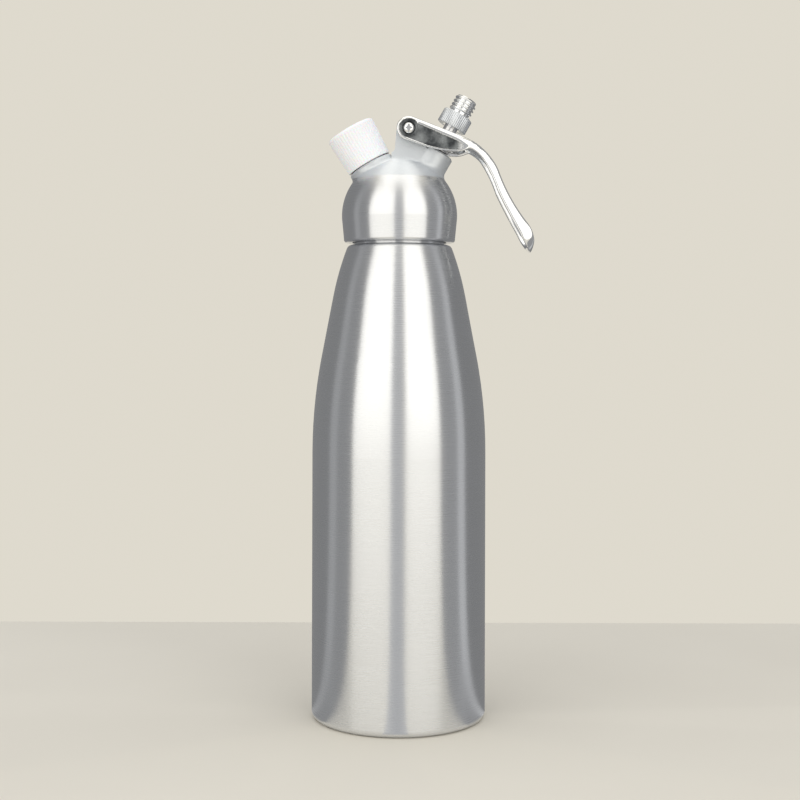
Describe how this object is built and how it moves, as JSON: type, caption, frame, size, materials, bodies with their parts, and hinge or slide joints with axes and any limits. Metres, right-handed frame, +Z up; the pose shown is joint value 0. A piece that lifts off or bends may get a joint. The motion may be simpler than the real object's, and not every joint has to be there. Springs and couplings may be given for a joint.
{
  "type": "whipped cream dispenser",
  "caption": "Whipped cream dispenser: satin aluminium bottle, screw-on head with gas inlet under a cap, squeeze lever and threaded valve nozzle",
  "frame": {"origin": "middle of the base, on the surface the bottle stands on", "axes": "+Z up along the bottle, +X towards the lever, the gas inlet leans to -X"},
  "size_m": [0.1148, 0.09, 0.3233],
  "materials": {
    "brushed_aluminium": "fine brushed satin",
    "knurled_aluminium": "satin, knurled",
    "stainless": "turned",
    "chrome": "polished",
    "chrome_cast": "polished rims, pebbled panels",
    "white_plastic": "fine ribs",
    "seal_rubber": "silicone"
  },
  "bodies": {
    "bottle": {"bottle": "brushed_aluminium"},
    "gasket": {"head_gasket": "seal_rubber"},
    "head": {"head": "brushed_aluminium", "valve_bush": "stainless", "bush_o_ring": "seal_rubber", "inlet_stud": "stainless", "stud_o_ring": "seal_rubber", "piercing_pin": "stainless", "charger_seal": "seal_rubber", "check_retainer": "stainless", "check_spring": "stainless", "return_spring": "stainless", "pivot_pin": "stainless", "pivot_screws": "chrome"},
    "stem": {"valve_stem": "stainless", "valve_seal": "seal_rubber", "stem_o_rings": "seal_rubber", "thrust_collar": "stainless", "nozzle_seal": "seal_rubber", "nozzle": "chrome", "knurled_ring": "knurled_aluminium"},
    "lever": {"lever": "chrome_cast"},
    "cap": {"protective_cap": "white_plastic"},
    "ball": {"check_ball": "stainless"}
  },
  "joints": [
    {"name": "head_lift", "type": "slide", "parent": "bottle", "child": "gasket", "axis": [0, 0, 1], "range_m": [0, 0.00945]},
    {"name": "head_turn", "type": "hinge", "parent": "gasket", "child": "head", "pos_m": [0, 0, 0.25], "axis": [0, 0, 1], "range_deg": [0, 972]},
    {"name": "lever_squeeze", "type": "hinge", "parent": "head", "child": "lever", "pos_m": [0.00467, 0, 0.3042], "axis": [0, 1, 0], "range_deg": [0, 12]},
    {"name": "stem_slide", "type": "slide", "parent": "head", "child": "stem", "axis": [-0.5, 0, -0.866], "range_m": [0, 0.004], "stiffness_N_per_m": 60, "springref_m": -0.002, "deforming": ["return_spring"]},
    {"name": "cap_pull", "type": "slide", "parent": "head", "child": "cap", "axis": [-0.5, 0, 0.866], "range_m": [0, 0.03]},
    {"name": "ball_slide", "type": "slide", "parent": "head", "child": "ball", "axis": [0.5, 0, -0.866], "range_m": [0, 0.0012], "stiffness_N_per_m": 200, "springref_m": -0.002, "deforming": ["check_spring"]}
  ],
  "couplings": [
    {"joint": "head_lift", "follows": "head_turn", "m_per_rad": 0.00055704},
    {"joint": "stem_slide", "follows": "lever_squeeze", "m_per_rad": 0.01895}
  ]
}
